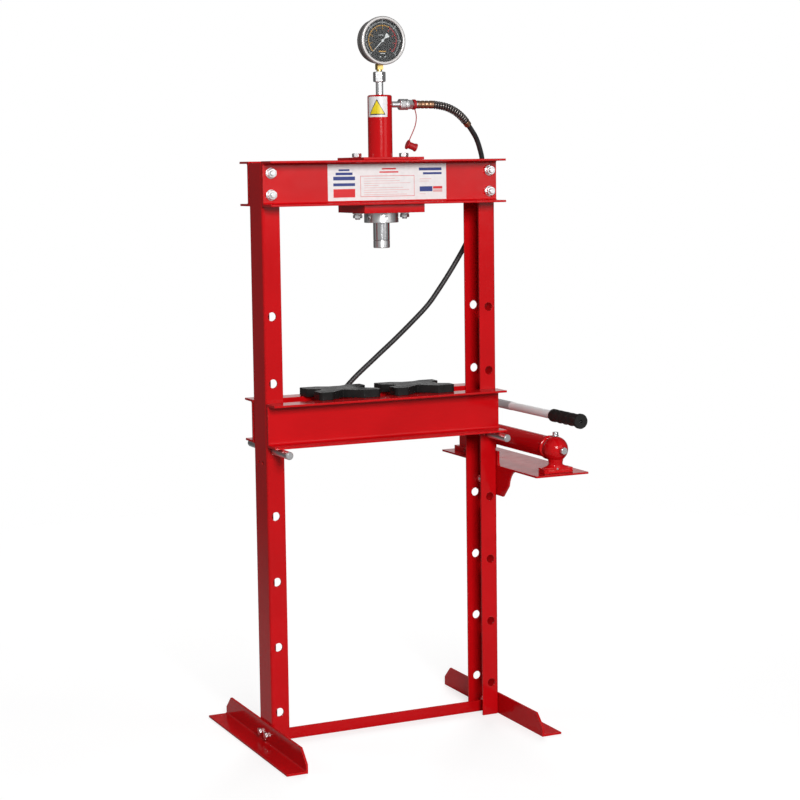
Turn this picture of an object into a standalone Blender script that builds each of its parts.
"""Hydraulic shop press: an H-frame with a clamped ram, a pin-set bed and a hand pump on a side bracket.

Metres, +Z up. The press centre line is x = 0, y = 0 of the frame empty, with the front towards -Y.
"""

from math import cos, pi, radians, sin, tau

import bmesh
import bpy
from mathutils import Matrix, Vector
from mathutils.geometry import interpolate_bezier

GAP = 0.0003

# Frame: two upright channels, open towards each other, and a pair of beams bolted across their tops.
HALF_WIDTH = 0.290
UPRIGHT_DEPTH = 0.080
UPRIGHT_FLANGE = 0.042
UPRIGHT_WALL = 0.005
UPRIGHT_BASE = 0.001
UPRIGHT_TOP = 1.319
BEAM_TOP = 1.3225
BEAM_HEIGHT = 0.100
BEAM_TIP = 0.097
BEAM_WEB = 0.008
BEAM_RIM = 0.005
BOLT_X = 0.271
BOLT_ROWS = (1.296, 1.248)
M12_HOLE = 0.0063
M10_HOLE = 0.0053

# Pin holes up each upright, and the bed that stands on two pins.
PIN_X = 0.271
PIN_RADIUS = 0.009
PIN_HOLE = 0.010
HOLE_BASE = 0.0785
HOLE_PITCH = 0.150
HOLE_COUNT = 7
BED_LEVEL = 4
PIN_Z = HOLE_BASE + BED_LEVEL * HOLE_PITCH - (PIN_HOLE - PIN_RADIUS) + GAP
PIN_ENDS = (-0.131, 0.110)
BED_BASE = PIN_Z + PIN_RADIUS + GAP
BED_HEIGHT = 0.098
BED_BACK = 0.043
BED_TIP = 0.094
BED_TOP = BED_BASE + BED_HEIGHT
SPACER_X = 0.215
PLATE_SIZE = (0.152, 0.126)
PLATE_THICKNESS = 0.018
PLATE_CENTRES = {"arbor_plate_left": (-0.089, 0.006), "arbor_plate_right": (0.097, 0.002)}

# Feet and bottom rail.
FOOT_LENGTH = 0.506
FOOT_LEG = 0.050
FOOT_WALL = 0.005
FOOT_CORNER = (0.031, 0.030)
FOOT_BOLT_Y = 0.019
FOOT_BOLT_Z = 0.022
RAIL_Y = 0.0
RAIL_HEIGHT = 0.026
RAIL_BASE = 0.001
RAIL_WALL = 0.006

# Ram head, clamped a little to the right of the frame's centre.
RAM_X = 0.017
HEAD_PLATE = 0.150
TOP_PLATE_THICKNESS = 0.006
LOW_PLATE_THICKNESS = 0.019
TIE_BOLT_OFFSET = 0.059
CYLINDER_RADIUS = 0.028
CYLINDER_TOP = 1.4695
CYLINDER_BASE = 1.181
BORE_RADIUS = 0.0215
PLUNGER_RADIUS = 0.019
PLUNGER_TOP = 1.440
TIP_TOP = 1.140
TIP_BASE = 1.122
COLLAR_RADIUS = 0.0395
COLLAR_BASE = 1.180
TOMMY_HOLES = 6
TOMMY_TURN = radians(21)

# Gauge on top of the ram.
GAUGE_Z = 1.591
GAUGE_RADIUS = 0.0545
GAUGE_CASE_RADIUS = 0.0505
GAUGE_FRONT = -0.028
GAUGE_BACK = 0.012
ADAPTER_TOP = 1.523
NEEDLE_TURN = -135.0
STEM_HALF = 0.007

# Hose coupler on the ram's right side, at the height of the port.
PORT_Z = 1.4485
COLLAR_X = (0.065, 0.0875)
NUT_X = (0.0878, 0.1097)
FERRULE_X = (0.110, 0.152)
CAP_RING_X = 0.103
# The strap's line from the ring's centre, with +X down.
CAP_STRAP = (
    (0.0105, 0, 0),
    (0.030, 0, 0.005),
    (0.050, 0, 0.002),
    (0.068, 0, -0.007),
    (0.086, 0, -0.013),
)

# Hose: the route of its centre line, from the ferrule to the pump's port.
HOSE_RADIUS = 0.006
GUARD_RADIUS = 0.0075
GUARD_LENGTH = 0.105
HOSE_SPACING = 0.021
HOSE_ROUTE = (
    (0.1523, 0.000, 1.4485),
    (0.184, 0.001, 1.4435),
    (0.210, 0.004, 1.4335),
    (0.231, 0.009, 1.420),
    (0.2495, 0.016, 1.4035),
    (0.2685, 0.026, 1.385),
    (0.2825, 0.036, 1.3705),
    (0.299, 0.052, 1.349),
    (0.314, 0.068, 1.320),
    (0.322, 0.082, 1.275),
    (0.318, 0.094, 1.215),
    (0.304, 0.104, 1.155),
    (0.284, 0.110, 1.111),
    (0.253, 0.115, 1.060),
    (0.219, 0.119, 1.011),
    (0.192, 0.124, 0.975),
    (0.154, 0.130, 0.937),
    (0.107, 0.134, 0.895),
    (0.057, 0.138, 0.853),
    (0.000, 0.144, 0.803),
    (-0.032, 0.150, 0.762),
    (-0.036, 0.158, 0.715),
    (0.002, 0.168, 0.683),
    (0.062, 0.180, 0.668),
    (0.136, 0.192, 0.658),
    (0.205, 0.200, 0.652),
    (0.267, 0.205, 0.650),
    (0.3045, 0.205, 0.650),
)

# Hand pump on its bracket, outside the right upright.
SHELF_X = (0.2903, 0.428)
SHELF_Y = (-0.232, 0.254)
SHELF_TOP = 0.6015
SHELF_WALL = 0.0045
BRACKET_BOLT_Y = 0.025
BRACKET_BOLT_Z = 0.562
PUMP_X = 0.360
PUMP_Z = 0.6555
TUBE_RADIUS = 0.025
BALL_Y = -0.197
BALL_RADIUS = 0.029
SADDLE_HEIGHT = 0.0135
HEAD_FRONT = 0.150
HEAD_BACK = 0.235
HEAD_TOP = 0.6875
PIVOT_Y = 0.222
PIVOT_Z = 0.7025
PIVOT_RADIUS = 0.004
PISTON_Y = 0.194
PISTON_BORE = 0.008
LEVER_Z = 0.7325
SLEEVE_ENDS = (0.012, 0.212)
HANDLE_RADIUS = 0.0085
GRIP_ENDS = (-0.186, -0.314)

# The press stands centred on the origin: the grip, the shelf and the left foot set its box.
LEFT_REACH = HALF_WIDTH + GAP + FOOT_LEG
CENTRE_X = (SHELF_X[1] - LEFT_REACH) / 2
CENTRE_Y = (SHELF_Y[1] + GRIP_ENDS[1]) / 2

RED = (0.62, 0.012, 0.018)
FINISHES = {
    "red_paint": (RED, 0.38, 0.0),
    "zinc": ((0.62, 0.62, 0.64), 0.35, 1.0),
    "steel": ((0.55, 0.55, 0.56), 0.28, 1.0),
    "polished_rod": ((0.72, 0.72, 0.74), 0.14, 1.0),
    "black_paint": ((0.03, 0.03, 0.032), 0.45, 0.0),
    "black_iron": ((0.05, 0.05, 0.052), 0.55, 0.6),
    "brass": ((0.72, 0.52, 0.24), 0.32, 1.0),
    "bronze_plating": ((0.66, 0.50, 0.27), 0.38, 1.0),
    "rubber": ((0.012, 0.012, 0.013), 0.62, 0.0),
    "red_plastic": ((0.70, 0.03, 0.04), 0.42, 0.0),
    "dial_black": ((0.015, 0.015, 0.016), 0.5, 0.0),
    "white_paint": ((0.85, 0.85, 0.85), 0.45, 0.0),
    "clear": ((0.95, 0.97, 0.98), 0.05, 0.0),
}


def clear_scene():
    for old in list(bpy.data.objects):
        bpy.data.objects.remove(old, do_unlink=True)


def new_collection(name):
    collection = bpy.data.collections.new(name)
    bpy.context.scene.collection.children.link(collection)
    return collection


def finish_material(name):
    colour, roughness, metallic = FINISHES[name]
    material = bpy.data.materials.new(name)
    material.use_nodes = True
    shader = material.node_tree.nodes["Principled BSDF"]
    shader.inputs["Base Color"].default_value = (*colour, 1.0)
    shader.inputs["Roughness"].default_value = roughness
    shader.inputs["Metallic"].default_value = metallic
    return material


def empty(name, place, parent=None):
    obj = bpy.data.objects.new(name, None)
    obj.location = place
    obj.parent = parent
    parts.objects.link(obj)
    return obj


def node(name, mesh, finish, parent, place=(0, 0, 0), turn=(0, 0, 0)):
    """Adds one sub-part; turn is in degrees."""
    obj = bpy.data.objects.new(name, mesh)
    obj.data.materials.clear()
    obj.data.materials.append(finish_material(finish))
    obj.location = place
    obj.rotation_euler = [radians(angle) for angle in turn]
    obj.parent = parent
    parts.objects.link(obj)
    return obj


def change(obj, mesh, operation="DIFFERENCE"):
    """Cuts or joins a mesh given in the object's own space."""
    tool = bpy.data.objects.new(f"{obj.name}_{operation.lower()}", mesh)
    tool.parent = obj
    tool.hide_render = True
    tool.display_type = "WIRE"
    cutters.objects.link(tool)
    boolean = obj.modifiers.new(operation.title(), "BOOLEAN")
    boolean.operation = operation
    boolean.object = tool


def closed_mesh(name, shape):
    bmesh.ops.recalc_face_normals(shape, faces=shape.faces)
    mesh = bpy.data.meshes.new(name)
    shape.to_mesh(mesh)
    shape.free()
    mesh.shade_smooth()
    mesh.set_sharp_from_angle(angle=radians(32))
    return mesh


def boxes(name, *corners):
    """One mesh of boxes, each given by its low and high corner."""
    shape = bmesh.new()
    for low, high in corners:
        low, high = Vector(low), Vector(high)
        made = bmesh.ops.create_cube(shape, size=1)["verts"]
        bmesh.ops.scale(shape, vec=high - low, verts=made)
        bmesh.ops.translate(shape, vec=(low + high) / 2, verts=made)
    return closed_mesh(name, shape)


def facing(direction, place):
    """The matrix that turns +Z to a direction and moves the origin to a place."""
    turn = Vector((0, 0, 1)).rotation_difference(Vector(direction))
    return Matrix.Translation(place) @ turn.to_matrix().to_4x4()


def add_rod(shape, radius, length, matrix, segments):
    bmesh.ops.create_cone(
        shape,
        cap_ends=True,
        segments=segments,
        radius1=radius,
        radius2=radius,
        depth=length,
        matrix=matrix,
    )


def rods(name, radius, axis, centres, length, segments=12):
    """One mesh of equal round rods along one axis."""
    shape = bmesh.new()
    for centre in centres:
        add_rod(shape, radius, length, facing(axis, centre), segments)
    return closed_mesh(name, shape)


def as_mesh(name, obj):
    """The evaluated mesh of a guide object, welded; the guide is removed."""
    parts.objects.link(obj)
    graph = bpy.context.evaluated_depsgraph_get()
    raw = bpy.data.meshes.new_from_object(obj.evaluated_get(graph))
    bpy.data.objects.remove(obj)
    shape = bmesh.new()
    shape.from_mesh(raw)
    bmesh.ops.remove_doubles(shape, verts=shape.verts, dist=1e-5)
    return closed_mesh(name, shape)


def flat(name, outline, thickness):
    """A flat outline in XY, centred on z = 0."""
    curve = bpy.data.curves.new(name, "CURVE")
    curve.dimensions = "2D"
    curve.fill_mode = "BOTH"
    curve.extrude = thickness / 2
    spline = curve.splines.new("POLY")
    spline.points.add(len(outline) - 1)
    for point, (x, y) in zip(spline.points, outline):
        point.co = (x, y, 0, 1)
    spline.use_cyclic_u = True
    return as_mesh(name, bpy.data.objects.new(name, curve))


def turned(name, profile, steps=24, closed=False):
    """A profile of (radius, height) turned about Z, given down its outer side."""
    shape = bmesh.new()
    made = [shape.verts.new((radius, 0, height)) for radius, height in profile]
    for first, second in zip(made, made[1:] + made[:1] if closed else made[1:]):
        shape.edges.new((first, second))
    mesh = bpy.data.meshes.new(name)
    shape.to_mesh(mesh)
    shape.free()
    obj = bpy.data.objects.new(name, mesh)
    screw = obj.modifiers.new("Screw", "SCREW")
    screw.steps = screw.render_steps = steps
    screw.use_merge_vertices = True
    screw.merge_threshold = 0.00001
    return as_mesh(name, obj)


def tube(name, points, radius, resolution=2):
    """A round bar along a line of points."""
    curve = bpy.data.curves.new(name, "CURVE")
    curve.dimensions = "3D"
    curve.bevel_depth = radius
    curve.bevel_resolution = resolution
    curve.use_fill_caps = True
    spline = curve.splines.new("POLY")
    spline.points.add(len(points) - 1)
    for point, place in zip(spline.points, points):
        point.co = (*place, 1)
    return as_mesh(name, bpy.data.objects.new(name, curve))


def arc(centre, radius, start, end, count):
    """Points along an arc, angles in degrees."""
    angles = [radians(start + (end - start) * i / (count - 1)) for i in range(count)]
    return [(centre[0] + radius * cos(a), centre[1] + radius * sin(a)) for a in angles]


def ring(height, radius, sides=0, count=12, squash=1.0):
    """One section of a stack: round, or a polygon whose flats are at the given radius."""
    points = []
    for i in range(count):
        angle = tau * i / count
        reach = radius
        if sides:
            off_flat = (angle + pi / sides) % (tau / sides) - pi / sides
            reach = radius / cos(off_flat)
        points.append((reach * cos(angle), squash * reach * sin(angle), height))
    return points


def stack(name, rings):
    """A closed solid lofted through sections with equal counts of points."""
    shape = bmesh.new()
    layers = [[shape.verts.new(point) for point in section] for section in rings]
    for low, high in zip(layers, layers[1:]):
        count = len(low)
        for i in range(count):
            j = (i + 1) % count
            shape.faces.new((low[i], low[j], high[j], high[i]))
    shape.faces.new(layers[0])
    shape.faces.new(layers[-1])
    return closed_mesh(name, shape)


def bolt(name, grip, shank, flats, washer, head, nut, tail):
    """A bolt along Z with its head below z = 0 and its nut above z = grip, as one solid."""
    return stack(
        name,
        (
            ring(-head, flats, 6),
            ring(0, flats, 6),
            ring(0, shank),
            ring(grip, shank),
            ring(grip, washer),
            ring(grip + 0.0022, washer),
            ring(grip + 0.0022, flats, 6),
            ring(grip + nut, flats, 6),
            ring(grip + nut, shank),
            ring(grip + nut + tail, shank * 0.85),
        ),
    )


def channel_outline(depth, flange, web, rim, outer=0.0, inner=0.005):
    """A channel's section: web along x = 0, flanges towards +X, centred in depth."""
    half = depth / 2
    points = [(flange, -half), (flange, -half + rim)]
    points += arc((web + inner, -half + rim + inner), inner, 270, 180, 4)
    points += arc((web + inner, half - rim - inner), inner, 180, 90, 4)
    points += [(flange, half - rim), (flange, half)]
    if outer:
        points += arc((outer, half - outer), outer, 90, 180, 4)
        points += arc((outer, outer - half), outer, 180, 270, 4)
    else:
        points += [(0, half), (0, -half)]
    return points


def make_uprights(press):
    height = UPRIGHT_TOP - UPRIGHT_BASE
    middle = (UPRIGHT_TOP + UPRIGHT_BASE) / 2
    wall = UPRIGHT_WALL
    outline = channel_outline(UPRIGHT_DEPTH, UPRIGHT_FLANGE, wall, wall, 0.006, 0.002)
    for side, turn in (("left", 0), ("right", 180)):
        sign = -1 if side == "left" else 1
        mesh = flat(f"upright_{side}", outline, height)
        place = (sign * HALF_WIDTH, 0, middle)
        upright = node(f"upright_{side}", mesh, "red_paint", press, place, (0, 0, turn))
        inboard = HALF_WIDTH - PIN_X
        levels = [HOLE_BASE + HOLE_PITCH * i - middle for i in range(HOLE_COUNT)]
        pin_holes = [(inboard, 0, level) for level in levels]
        through = UPRIGHT_DEPTH * 1.2
        change(upright, rods("pin_holes", PIN_HOLE, (0, 1, 0), pin_holes, through, 16))
        bolt_holes = [(HALF_WIDTH - BOLT_X, 0, row - middle) for row in BOLT_ROWS]
        change(upright, rods("bolt_holes", M12_HOLE, (0, 1, 0), bolt_holes, through))
        web_holes = [(0, y, FOOT_BOLT_Z - middle) for y in (-FOOT_BOLT_Y, FOOT_BOLT_Y)]
        if side == "right":
            web_holes += [(0, y, BRACKET_BOLT_Z - middle) for y in (-BRACKET_BOLT_Y, BRACKET_BOLT_Y)]
        change(upright, rods("web_holes", M10_HOLE, (1, 0, 0), web_holes, 0.03))


def make_beam(name, parent, side, back, tip, top, height):
    """A channel beam with its web towards the uprights; side is -1 for the front."""
    outline = channel_outline(height, tip - back, BEAM_WEB, BEAM_RIM)
    mesh = flat(name, outline, 2 * HALF_WIDTH)
    place = (0, side * back, top - height / 2)
    return node(name, mesh, "red_paint", parent, place, (90, 0, 90 * side))


def make_top_beams(press):
    back = UPRIGHT_DEPTH / 2 + GAP
    middle = BEAM_TOP - BEAM_HEIGHT / 2
    holes = [(0, row - middle, x) for row in BOLT_ROWS for x in (-BOLT_X, BOLT_X)]
    for label, side in (("front", -1), ("rear", 1)):
        name = f"top_beam_{label}"
        beam = make_beam(name, press, side, back, BEAM_TIP, BEAM_TOP, BEAM_HEIGHT)
        change(beam, rods("beam_holes", M12_HOLE, (1, 0, 0), holes, 0.04))


def make_beam_bolts(press):
    grip = BEAM_WEB + UPRIGHT_WALL + 3 * GAP
    mesh = bolt("beam_bolt", grip, 0.006, 0.0095, 0.0122, 0.0075, 0.012, 0.0045)
    inside = UPRIGHT_DEPTH / 2 - UPRIGHT_WALL - GAP
    for label, side in (("front", -1), ("rear", 1)):
        for hand, x in (("left", -BOLT_X), ("right", BOLT_X)):
            for level, row in zip(("upper", "lower"), BOLT_ROWS):
                name = f"beam_bolt_{label}_{hand}_{level}"
                node(name, mesh, "zinc", press, (x, side * inside, row), (-90 * side, 0, 0))


def foot_mesh(name):
    """A foot's upright leg, drawn in (y, z), with its upper corners cut back."""
    half = FOOT_LENGTH / 2
    inset = half - FOOT_CORNER[0]
    rise = FOOT_LEG - FOOT_CORNER[1]
    outline = [(-half, 0), (half, 0), (half, rise), (inset, FOOT_LEG), (-inset, FOOT_LEG), (-half, rise)]
    return flat(name, outline, FOOT_WALL)


def make_feet(press):
    grip = UPRIGHT_WALL + FOOT_WALL + 3 * GAP
    mesh = bolt("foot_bolt", grip, 0.005, 0.008, 0.0098, 0.006, 0.009, 0.003)
    for side, sign in (("left", -1), ("right", 1)):
        middle = sign * (HALF_WIDTH + GAP + FOOT_WALL / 2)
        name = f"foot_{side}"
        foot = node(name, foot_mesh(name), "red_paint", press, (middle, 0, 0), (90, 0, 90))
        inner, outer = sorted((-sign * FOOT_WALL / 2, sign * (FOOT_LEG - FOOT_WALL / 2)))
        half = FOOT_LENGTH / 2
        change(foot, boxes("flat_leg", ((-half, 0, inner), (half, FOOT_WALL, outer))), "UNION")
        holes = [(y, FOOT_BOLT_Z, 0) for y in (-FOOT_BOLT_Y, FOOT_BOLT_Y)]
        change(foot, rods("foot_holes", M10_HOLE, (0, 0, 1), holes, 0.04))
        start = sign * (HALF_WIDTH + FOOT_WALL + 2 * GAP)
        for end, y in (("front", -FOOT_BOLT_Y), ("rear", FOOT_BOLT_Y)):
            place = (start, y, FOOT_BOLT_Z)
            node(f"foot_bolt_{side}_{end}", mesh, "zinc", press, place, (0, -90 * sign, 0))


def make_rail(press):
    reach = HALF_WIDTH - UPRIGHT_WALL - GAP
    low = (-reach, RAIL_Y - RAIL_WALL / 2, RAIL_BASE)
    high = (reach, RAIL_Y + RAIL_WALL / 2, RAIL_BASE + RAIL_HEIGHT)
    node("bottom_rail", boxes("bottom_rail", (low, high)), "red_paint", press)


def make_ram(press):
    top_base = BEAM_TOP + GAP
    low_top = BEAM_TOP - BEAM_HEIGHT - GAP
    half = HEAD_PLATE / 2
    hole = CYLINDER_RADIUS + 2 * GAP
    tie_holes = [(x, 0, 0) for x in (-TIE_BOLT_OFFSET, TIE_BOLT_OFFSET)]
    for name, base, thickness in (
        ("ram_plate_top", top_base, TOP_PLATE_THICKNESS),
        ("ram_plate_bottom", low_top - LOW_PLATE_THICKNESS, LOW_PLATE_THICKNESS),
    ):
        mesh = boxes(name, ((-half, -half, 0), (half, half, thickness)))
        plate = node(name, mesh, "red_paint", press, (RAM_X, 0, base))
        change(plate, rods("ram_hole", hole, (0, 0, 1), [(0, 0, 0)], 0.06, 24))
        change(plate, rods("tie_holes", M12_HOLE, (0, 0, 1), tie_holes, 0.06))
    grip = top_base + TOP_PLATE_THICKNESS - (low_top - LOW_PLATE_THICKNESS) + 2 * GAP
    mesh = bolt("tie_bolt", grip, 0.006, 0.0095, 0.0118, 0.009, 0.012, 0.0035)
    for side, x in (("left", -TIE_BOLT_OFFSET), ("right", TIE_BOLT_OFFSET)):
        place = (RAM_X + x, 0, top_base + TOP_PLATE_THICKNESS + GAP)
        node(f"tie_bolt_{side}", mesh, "zinc", press, place, (180, 0, 0))
    make_cylinder(press, low_top - LOW_PLATE_THICKNESS - GAP)


def make_cylinder(press, collar_top):
    gland_top = CYLINDER_BASE + 0.020
    profile = [
        (0, CYLINDER_TOP),
        (0.0255, CYLINDER_TOP),
        (CYLINDER_RADIUS, CYLINDER_TOP - 0.0025),
        (CYLINDER_RADIUS, CYLINDER_BASE + 0.002),
        (CYLINDER_RADIUS - 0.002, CYLINDER_BASE),
        (PLUNGER_RADIUS + GAP, CYLINDER_BASE),
        (PLUNGER_RADIUS + GAP, gland_top),
        (BORE_RADIUS, gland_top),
        (BORE_RADIUS, CYLINDER_TOP - 0.014),
        (0, CYLINDER_TOP - 0.014),
    ]
    node("ram_cylinder", turned("ram_cylinder", profile), "red_paint", press, (RAM_X, 0, 0))
    inner = CYLINDER_RADIUS + 2 * GAP
    profile = [
        (inner, collar_top),
        (COLLAR_RADIUS - 0.001, collar_top),
        (COLLAR_RADIUS, collar_top - 0.001),
        (COLLAR_RADIUS, COLLAR_BASE + 0.001),
        (COLLAR_RADIUS - 0.001, COLLAR_BASE),
        (inner, COLLAR_BASE),
    ]
    mesh = turned("collar_nut", profile, closed=True)
    collar = node("collar_nut", mesh, "steel", press, (RAM_X, 0, 0))
    middle = Vector((0, 0, (collar_top + COLLAR_BASE) / 2))
    shape = bmesh.new()
    for i in range(TOMMY_HOLES):
        angle = TOMMY_TURN + tau * i / TOMMY_HOLES
        outward = Vector((cos(angle), sin(angle), 0))
        add_rod(shape, 0.0042, 0.012, facing(outward, outward * COLLAR_RADIUS + middle), 10)
    change(collar, closed_mesh("tommy_holes", shape))


def make_plunger(press):
    """The plunger is open at the top, where the return spring hangs in it from the cylinder's head."""
    slide = empty("ram_slide_axis", (RAM_X, 0, TIP_BASE), press)
    foot = TIP_TOP + GAP - TIP_BASE
    crown = PLUNGER_TOP - TIP_BASE
    well = 0.0125
    profile = [
        (0, foot + 0.025),
        (well, foot + 0.025),
        (well, crown),
        (BORE_RADIUS - GAP, crown),
        (BORE_RADIUS - GAP, crown - 0.014),
        (PLUNGER_RADIUS, crown - 0.014),
        (PLUNGER_RADIUS, foot),
        (0, foot),
    ]
    node("ram_plunger", turned("ram_plunger", profile), "polished_rod", slide)
    height = TIP_TOP - TIP_BASE
    edge = 0.0008
    profile = [
        (0, height),
        (PLUNGER_RADIUS - edge, height),
        (PLUNGER_RADIUS, height - edge),
        (PLUNGER_RADIUS, edge),
        (PLUNGER_RADIUS - edge, 0),
        (0, 0),
    ]
    node("plunger_tip", turned("plunger_tip", profile), "steel", slide)
    low = TIP_TOP + 0.025 + 2 * GAP
    high = CYLINDER_TOP - 0.014 - GAP
    profile = [(0.0118, high), (0.0118, low), (0.0090, low), (0.0090, high)]
    node("return_spring", turned("return_spring", profile, 16, True), "steel", press, (RAM_X, 0, 0))


def make_gauge(press):
    flats = 0.0125
    rings = [
        ring(CYLINDER_TOP + GAP, 0.0075),
        ring(ADAPTER_TOP - 0.024, 0.0075),
        ring(ADAPTER_TOP - 0.024, flats * 0.93),
        ring(ADAPTER_TOP - 0.023, flats, 6),
        ring(ADAPTER_TOP - 0.001, flats, 6),
        ring(ADAPTER_TOP, flats * 0.93),
    ]
    node("gauge_adapter", stack("gauge_adapter", rings), "zinc", press, (RAM_X, 0, 0))
    stem_top = GAUGE_Z - GAUGE_CASE_RADIUS - GAP
    low = (-STEM_HALF, -STEM_HALF, ADAPTER_TOP + GAP)
    high = (STEM_HALF, STEM_HALF, stem_top)
    node("gauge_stem", boxes("gauge_stem", (low, high)), "brass", press, (RAM_X, 0, 0))
    front = -GAUGE_FRONT
    back = -GAUGE_BACK
    floor = front - 0.009
    wall = GAUGE_CASE_RADIUS - 0.0025
    profile = [
        (0, floor),
        (wall, floor),
        (wall, front),
        (GAUGE_RADIUS - 0.002, front),
        (GAUGE_RADIUS, front - 0.002),
        (GAUGE_RADIUS, front - 0.009),
        (GAUGE_CASE_RADIUS, front - 0.010),
        (GAUGE_CASE_RADIUS, back + 0.003),
        (GAUGE_CASE_RADIUS - 0.003, back),
        (0, back),
    ]
    centre = (RAM_X, 0, GAUGE_Z)
    forward = (90, 0, 0)
    node("gauge_case", turned("gauge_case", profile, 32), "black_paint", press, centre, forward)
    fit = wall - GAP
    dial = turned("gauge_dial", disc_profile(fit, floor + GAP, floor + 0.0013), 32)
    node("gauge_dial", dial, "dial_black", press, centre, forward)
    lens = turned("gauge_lens", disc_profile(fit, front - 0.0035, front - 0.0015), 32)
    node("gauge_lens", lens, "clear", press, centre, forward)
    hub = (RAM_X, -floor - 0.0016, GAUGE_Z)
    needle = node("gauge_needle", needle_mesh(), "white_paint", press, hub, forward)
    needle.rotation_euler.rotate_axis("Z", radians(NEEDLE_TURN))


def disc_profile(radius, low, high):
    return [(0, high), (radius, high), (radius, low), (0, low)]


def needle_mesh():
    """The needle along +X with its wide tail behind the hub."""
    thickness = 0.0010
    outline = [(0.036, 0.0), (0.005, 0.0012), (-0.008, 0.0012), (-0.0170, 0.0058), (-0.0192, 0.0046)]
    outline += [(x, -y) for x, y in reversed(outline[1:])]
    shape = bmesh.new()
    shape.from_mesh(flat("needle_blade", outline, thickness))
    bmesh.ops.translate(shape, vec=(0, 0, thickness / 2), verts=shape.verts)
    return closed_mesh("gauge_needle", shape)


def make_coupler(press):
    start = CYLINDER_RADIUS + 2 * GAP
    along = (0, 90, 0)
    centre = (RAM_X, 0, PORT_Z)
    collar_low, collar_high = (x - RAM_X for x in COLLAR_X)
    rim = 0.0008
    rings = [
        ring(start, 0.0070, count=16),
        ring(collar_low, 0.0070, count=16),
        ring(collar_low, 0.0118, count=16),
        ring(collar_low + rim, 0.0126, count=16),
        ring(collar_high - 0.008, 0.0126, count=16),
        ring(collar_high - 0.008, 0.0112, count=16),
        ring(collar_high - 0.006, 0.0112, count=16),
        ring(collar_high - 0.006, 0.0126, count=16),
        ring(collar_high - rim, 0.0126, count=16),
        ring(collar_high, 0.0118, count=16),
    ]
    node("coupler_collar", stack("coupler_collar", rings), "zinc", press, centre, along)
    nut_low, nut_high = (x - RAM_X for x in NUT_X)
    rings = [
        ring(nut_low, 0.0098),
        ring(nut_low + rim, 0.0104, 6),
        ring(nut_low + 0.0095, 0.0104, 6),
        ring(nut_low + 0.0095, 0.0080),
        ring(nut_high, 0.0080),
    ]
    node("coupler_nut", stack("coupler_nut", rings), "zinc", press, centre, along)
    low, high = (x - RAM_X for x in FERRULE_X)
    crimp = 0.0006
    rings = [ring(low, 0.0086), ring(low + rim, 0.0092)]
    for i in range(3):
        groove = low + 0.008 + 0.010 * i
        rings += [ring(groove, 0.0092), ring(groove + 0.0025, 0.0092 - crimp)]
        rings += [ring(groove + 0.005, 0.0092)]
    rings += [ring(high - rim, 0.0092), ring(high, 0.0084)]
    node("hose_ferrule", stack("hose_ferrule", rings), "bronze_plating", press, centre, along)


def make_dust_cap(press):
    """The red dust cap: a ring round the coupler's neck, a strap and the plug that hangs from it."""
    swing = empty("dust_cap_axis", (CAP_RING_X, 0, PORT_Z), press)
    half = 0.0038
    inner = 0.0080 + GAP
    profile = [(inner, half), (0.0122, half), (0.0122, -half), (inner, -half)]
    mesh = turned("dust_cap", profile, 20, True)
    cap = node("dust_cap", mesh, "red_plastic", swing, (0, 0, 0), (0, 90, 0))
    change(cap, tube("dust_cap_strap", CAP_STRAP, 0.0022), "UNION")
    profile = [
        (0, 0.004),
        (0.0120, 0.004),
        (0.0138, 0.002),
        (0.0138, -0.022),
        (0.0125, -0.024),
        (0, -0.024),
    ]
    plug = turned("dust_cap_plug", profile, 20)
    end = Vector(CAP_STRAP[-1])
    plug.transform(facing((-1, 0, 0), end - Vector((0.002, 0, 0))))
    change(cap, plug, "UNION")


def smooth_route(route, spacing):
    """Evenly spaced points on a smooth curve through the route's own points."""
    points = [Vector(point) for point in route]
    ends = [2 * points[0] - points[1], *points, 2 * points[-1] - points[-2]]
    fine = []
    for i in range(1, len(ends) - 2):
        before, start, end, after = ends[i - 1 : i + 3]
        leaving = start + (end - before) / 6
        arriving = end - (after - start) / 6
        fine += interpolate_bezier(start, leaving, arriving, end, 24)[:-1]
    fine.append(points[-1])
    lengths = [0.0]
    for first, second in zip(fine, fine[1:]):
        lengths.append(lengths[-1] + (second - first).length)
    count = round(lengths[-1] / spacing)
    spots = []
    index = 0
    for step in range(count + 1):
        target = lengths[-1] * step / count
        while index < len(lengths) - 2 and lengths[index + 1] < target:
            index += 1
        share = (target - lengths[index]) / (lengths[index + 1] - lengths[index])
        spots.append(fine[index].lerp(fine[index + 1], min(share, 1.0)))
    return spots


def make_hose(press):
    spots = smooth_route(HOSE_ROUTE, HOSE_SPACING)
    guard_count = round(GUARD_LENGTH / HOSE_SPACING) + 1
    guard, rest = spots[:guard_count], spots[guard_count - 1 :]
    onward = (guard[-1] - guard[-2]).normalized()
    rest[:1] = [guard[-1] + onward * GAP, guard[-1] + onward * 0.006]
    straight = Vector((0.006, 0, 0))
    guard[:1] = [guard[0], guard[0] + straight]
    rest[-1:] = [rest[-1] - straight, rest[-1]]
    node("hose_spring_guard", tube("hose_spring_guard", guard, GUARD_RADIUS), "black_paint", press)
    node("hose", tube("hose", rest, HOSE_RADIUS), "rubber", press)
    end = HOSE_ROUTE[-1]
    length = PUMP_X - 0.030 - GAP - end[0] - GAP
    rings = [
        ring(0, 0.0080),
        ring(length - 0.011, 0.0080),
        ring(length - 0.011, 0.0095, 6),
        ring(length, 0.0095, 6),
    ]
    fitting = stack("hose_pump_fitting", rings)
    place = (end[0] + GAP, end[1], end[2])
    node("hose_pump_fitting", fitting, "zinc", press, place, (0, 90, 0))


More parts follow.
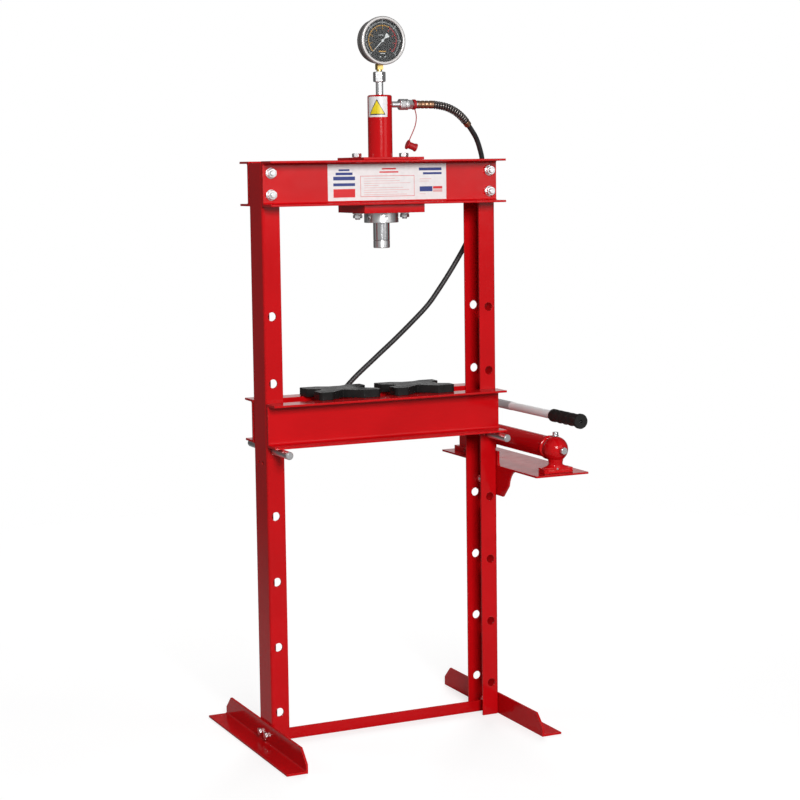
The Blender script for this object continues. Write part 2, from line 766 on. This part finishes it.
def arbor_outline():
    """The block's plan: a notch in each side, all of different widths."""
    x, y = PLATE_SIZE[0] / 2, PLATE_SIZE[1] / 2
    return [
        (-x, -y + 0.006),
        (-x + 0.006, -y),
        (-0.046, -y),
        (-0.006, -y + 0.036),
        (0.032, -y),
        (x - 0.008, -y),
        (x, -y + 0.008),
        (x, -0.030),
        (x - 0.024, -0.014),
        (x - 0.024, 0.016),
        (x, 0.032),
        (x, y),
        (0.042, y),
        (0.018, y - 0.014),
        (-0.010, y - 0.014),
        (-0.034, y),
        (-x, y),
        (-x, 0.024),
        (-x + 0.026, 0.008),
        (-x + 0.026, -0.008),
        (-x, -0.024),
    ]


def make_bed(press):
    lift = empty("bed_lift_axis", (0, 0, BED_BASE), press)
    for label, side in (("front", -1), ("rear", 1)):
        make_beam(f"bed_beam_{label}", lift, side, BED_BACK, BED_TIP, BED_HEIGHT, BED_HEIGHT)
    reach = BED_BACK - GAP
    low = (-0.006, -reach, 0.014)
    high = (0.006, reach, BED_HEIGHT - 0.014)
    for side, x in (("left", -SPACER_X), ("right", SPACER_X)):
        name = f"bed_spacer_{side}"
        node(name, boxes(name, (low, high)), "red_paint", lift, (x, 0, 0))
    height = BED_HEIGHT + GAP + PLATE_THICKNESS / 2
    for name, (x, y) in PLATE_CENTRES.items():
        mesh = flat(name, arbor_outline(), PLATE_THICKNESS)
        node(name, mesh, "black_iron", lift, (x, y, height))
    front, rear = PIN_ENDS
    chamfer = 0.0012
    profile = [
        (0, rear - front),
        (PIN_RADIUS - chamfer, rear - front),
        (PIN_RADIUS, rear - front - chamfer),
        (PIN_RADIUS, chamfer),
        (PIN_RADIUS - chamfer, 0),
        (0, 0),
    ]
    for side, x in (("left", -PIN_X), ("right", PIN_X)):
        mesh = turned(f"bed_pin_{side}", profile, 16)
        node(f"bed_pin_{side}", mesh, "steel", press, (x, front, PIN_Z), (-90, 0, 0))


def make_bracket(press):
    """The shelf and the plate that bolts it to the upright's web, drawn in (y, z)."""
    top = SHELF_TOP - 0.001
    side = [(0.044, 0.635), (0.044, top), (0.122, top), (0.118, 0.594)]
    side += arc((0.146, 0.552), 0.051, 124, 172, 6)
    side += [(0.067, 0.530)]
    outline = [(-y, z) for y, z in reversed(side)] + side
    middle = HALF_WIDTH + GAP + UPRIGHT_WALL / 2
    mesh = flat("pump_bracket", outline, UPRIGHT_WALL)
    bracket = node("pump_bracket", mesh, "red_paint", press, (middle, 0, 0), (90, 0, 90))
    low = (SHELF_Y[0], SHELF_TOP - SHELF_WALL, SHELF_X[0] - middle)
    high = (SHELF_Y[1], SHELF_TOP, SHELF_X[1] - middle)
    change(bracket, boxes("shelf", (low, high)), "UNION")
    holes = [(y, BRACKET_BOLT_Z, 0) for y in (-BRACKET_BOLT_Y, BRACKET_BOLT_Y)]
    change(bracket, rods("bracket_holes", M10_HOLE, (0, 0, 1), holes, 0.03))


def make_pump(press):
    body = empty("pump_axis", (PUMP_X, 0, PUMP_Z), press)
    forward = (90, 0, 0)
    shelf = SHELF_TOP + GAP - PUMP_Z
    tube_front = -BALL_Y - 0.030
    tube_back = -HEAD_FRONT + GAP
    inner = TUBE_RADIUS - 0.003
    profile = [
        (TUBE_RADIUS, tube_front),
        (TUBE_RADIUS, tube_back),
        (inner, tube_back),
        (inner, tube_front),
    ]
    mesh = turned("pump_reservoir", profile, closed=True)
    node("pump_reservoir", mesh, "red_paint", body, (0, 0, 0), forward)
    make_front_cap(body, forward, shelf, tube_front)
    make_pump_head(body, shelf)
    flats = 0.0075
    rings = [
        ring(0, 0.0055),
        ring(0.004, 0.0055),
        ring(0.004, flats, 6),
        ring(0.0115, flats, 6),
        ring(0.0125, flats * 0.9),
    ]
    plug = stack("front_plug", rings)
    node("front_plug", plug, "zinc", body, (0, BALL_Y - BALL_RADIUS - GAP, 0), forward)
    rings = [
        ring(0, 0.0078),
        ring(0.002, 0.0078),
        ring(0.002, 0.0058, 6),
        ring(0.0075, 0.0058, 6),
        ring(0.0075, 0.0068),
        ring(0.0095, 0.0068),
    ]
    place = (0, BALL_Y, BALL_RADIUS + 2 * GAP)
    node("filler_plug", stack("filler_plug", rings), "zinc", body, place)


def make_front_cap(body, forward, shelf, tube_front):
    """The ball end of the reservoir, on a waisted neck and a grooved saddle."""
    start = tube_front + GAP
    skirt = BALL_RADIUS - 0.001
    profile = [(0, BALL_RADIUS - BALL_Y), *arc((0, -BALL_Y), BALL_RADIUS, 90, -44, 10)[1:]]
    profile += [(skirt, start + 0.007), (skirt, start), (0, start)]
    mesh = turned("pump_front_cap", profile)
    cap = node("pump_front_cap", mesh, "red_paint", body, (0, 0, 0), forward)
    change(cap, laid_forward(neck_mesh(shelf + SADDLE_HEIGHT)), "UNION")
    change(cap, laid_forward(saddle_mesh(shelf)), "UNION")
    seat = BALL_RADIUS + 0.005
    change(cap, rods("filler_seat", 0.009, (0, 1, 0), [(0, seat, -BALL_Y)], 0.010))
    change(cap, rods("plug_seat", 0.009, (0, 0, 1), [(0, 0, seat - BALL_Y)], 0.010))


def laid_forward(mesh):
    """Takes a mesh drawn upright into the front cap's own space, where +Y is up and +Z is forwards."""
    mesh.transform(Matrix.Translation((0, 0, -BALL_Y)) @ Matrix.Rotation(radians(-90), 4, "X"))
    return mesh


def saddle_mesh(base):
    """A flat block with cut corners and a groove round its sides."""
    half_x, half_y = 0.038, 0.0165
    corner = 0.003
    groove = 0.96
    rings = []
    for height, scale in (
        (0, 1),
        (0.0055, 1),
        (0.0055, groove),
        (0.0070, groove),
        (0.0070, 1),
        (SADDLE_HEIGHT, 1),
    ):
        x, y = half_x * scale, half_y * scale
        plan = [(x - corner, -y), (x, corner - y), (x, y - corner), (x - corner, y)]
        plan += [(-px, -py) for px, py in plan]
        rings.append([(px, py, base + height) for px, py in plan])
    return stack("saddle", rings)


def neck_mesh(base):
    sections = (
        (base - 0.001, 0.0265, 0.56),
        (base + 0.003, 0.0195, 0.70),
        (base + 0.008, 0.0160, 0.86),
        (-0.012, 0.0200, 0.92),
    )
    return stack("neck", [ring(z, r, count=16, squash=squash) for z, r, squash in sections])


def make_pump_head(body, shelf):
    """The head block with its foot, the two ears and the pin that the lever turns on."""
    low = (-0.030, HEAD_FRONT, shelf + 0.010)
    high = (0.030, HEAD_BACK, HEAD_TOP - PUMP_Z)
    head = node("pump_head", boxes("pump_head", (low, high)), "red_paint", body)
    low = (-0.042, HEAD_BACK - 0.046, shelf)
    high = (0.042, HEAD_BACK + 0.004, shelf + 0.011)
    change(head, boxes("head_foot", (low, high)), "UNION")
    pivot = PIVOT_Z - PUMP_Z
    block_top = HEAD_TOP - PUMP_Z
    for side, near, far in (("left", -0.022, -0.015), ("right", 0.015, 0.022)):
        low = (near, PIVOT_Y - 0.011, block_top - 0.002)
        high = (far, PIVOT_Y + 0.011, pivot + 0.010)
        change(head, boxes(f"ear_{side}", (low, high)), "UNION")
    pin = rods("lever_pin", PIVOT_RADIUS, (1, 0, 0), [(0, PIVOT_Y, pivot)], 0.050)
    change(head, pin, "UNION")
    middle = (0, PISTON_Y, block_top - 0.020)
    bore = rods("piston_bore", PISTON_BORE, (0, 0, 1), [middle], 0.060, 24)
    change(head, bore)
    make_piston(body, block_top)
    knob = [
        ring(0, 0.0050, count=16),
        ring(0.006, 0.0050, count=16),
        ring(0.006, 0.0115, count=16),
        ring(0.007, 0.0125, count=16),
        ring(0.015, 0.0125, count=16),
        ring(0.016, 0.0115, count=16),
    ]
    mesh = stack("release_knob", knob)
    node("release_knob", mesh, "black_paint", body, (0.030 + GAP, 0.186, -0.022), (0, 90, 0))


def make_piston(body, block_top):
    """The piston's flat tongue and cross pin stand in the lever's slot with room to spare all round.

    Its round top stays down in the bore, so that it clears the lever's underside at full lift.
    """
    slide = empty("piston_axis", (0, PISTON_Y, 0), body)
    radius = PISTON_BORE - GAP
    top = block_top - 0.0065
    base = block_top - 0.048
    mesh = turned("pump_piston", [(0, top), (radius, top), (radius, base), (0, base)], 24)
    piston = node("pump_piston", mesh, "polished_rod", slide)
    pivot = PIVOT_Z - PUMP_Z
    tongue = boxes("tongue", ((-0.004, -0.005, top - 0.002), (0.004, 0.005, pivot + 0.006)))
    change(piston, tongue, "UNION")
    change(piston, rods("cross_pin", 0.0025, (1, 0, 0), [(0, 0, pivot)], 0.023), "UNION")


def lever_side(name, thickness):
    """The lever's plate in (y, z) from its pivot: a boss, the slot's arm and the part under the sleeve."""
    rise = LEVER_Z - PIVOT_Z
    outline = arc((0, 0), 0.0105, -90, 60, 7)
    outline += [(0.000, rise), (-0.052, rise), (-0.052, -0.008), (-0.046, -0.0105)]
    return flat(name, outline, thickness)


def make_lever(press):
    pivot = empty("lever_axis", (PUMP_X, PIVOT_Y, PIVOT_Z), press)
    rise = LEVER_Z - PIVOT_Z
    mesh = lever_side("pump_lever", 0.024)
    lever = node("pump_lever", mesh, "steel", pivot, (0, 0, 0), (90, 0, 90))
    near, far = (PIVOT_Y - y for y in reversed(SLEEVE_ENDS))
    sleeve = rods("sleeve", 0.0103, (1, 0, 0), [(-(near + far) / 2, rise, 0)], far - near, 24)
    change(lever, sleeve, "UNION")
    depth = 2 * (far - near) - 0.030
    bore = rods("sleeve_bore", HANDLE_RADIUS + GAP, (1, 0, 0), [(-far, rise, 0)], depth, 24)
    change(lever, bore)
    change(lever, rods("pivot_bore", PIVOT_RADIUS + GAP, (0, 0, 1), [(0, 0, 0)], 0.05))
    cut_lever_slots(lever, PIVOT_Y - PISTON_Y, rise)
    make_handle(pivot, rise)


def cut_lever_slots(lever, arm, rise):
    """The channel that the piston's tongue stands in, and the slot that its cross pin runs in."""
    low = (-arm - 0.020, -0.020, -0.006)
    high = (0.0135 - arm, rise - 0.0112, 0.006)
    change(lever, boxes("tongue_slot", (low, high)))
    low = (-arm - 0.0120, -0.0050, -0.02)
    high = (0.0055 - arm, 0.0050, 0.02)
    change(lever, boxes("pin_slot", (low, high)))


def make_handle(pivot, rise):
    start = 0.040
    length = PIVOT_Y - GRIP_ENDS[1] - 0.006 - start
    inner = HANDLE_RADIUS - 0.0018
    profile = [(HANDLE_RADIUS, length), (HANDLE_RADIUS, 0), (inner, 0), (inner, length)]
    mesh = turned("handle_tube", profile, 16, True)
    node("handle_tube", mesh, "zinc", pivot, (0, -start, rise), (90, 0, 0))
    place = (0, GRIP_ENDS[0] - PIVOT_Y, rise)
    node("handle_grip", grip_mesh(), "rubber", pivot, place, (90, 0, 0))


def grip_mesh():
    """A grip with four finger grooves and a flanged end, over the end of the handle."""
    length = GRIP_ENDS[0] - GRIP_ENDS[1]
    bore = HANDLE_RADIUS + GAP
    outer = [
        (0.0155, length),
        (0.0162, length - 0.001),
        (0.0162, length - 0.006),
        (0.0130, length - 0.009),
    ]
    for i in range(4):
        base = length - 0.014 - 0.026 * i
        outer += [(0.0130, base), (0.0118, base - 0.010), (0.0130, base - 0.020)]
    outer += [(0.0126, 0.003), (0.0110, 0)]
    inner = [(bore, 0), (bore, length - 0.0055), (0.003, length - 0.0055), (0.003, length)]
    return turned("handle_grip", outer + inner, 16, True)


def build():
    clear_scene()
    press = empty("press_frame", (-CENTRE_X, -CENTRE_Y, 0))
    for make in (
        make_uprights,
        make_top_beams,
        make_beam_bolts,
        make_feet,
        make_rail,
        make_ram,
        make_plunger,
        make_gauge,
        make_coupler,
        make_dust_cap,
        make_hose,
        make_bed,
        make_bracket,
        make_pump,
        make_lever,
    ):
        make(press)


clear_scene()
parts = new_collection("shop_press")
cutters = new_collection("cutters")
build()
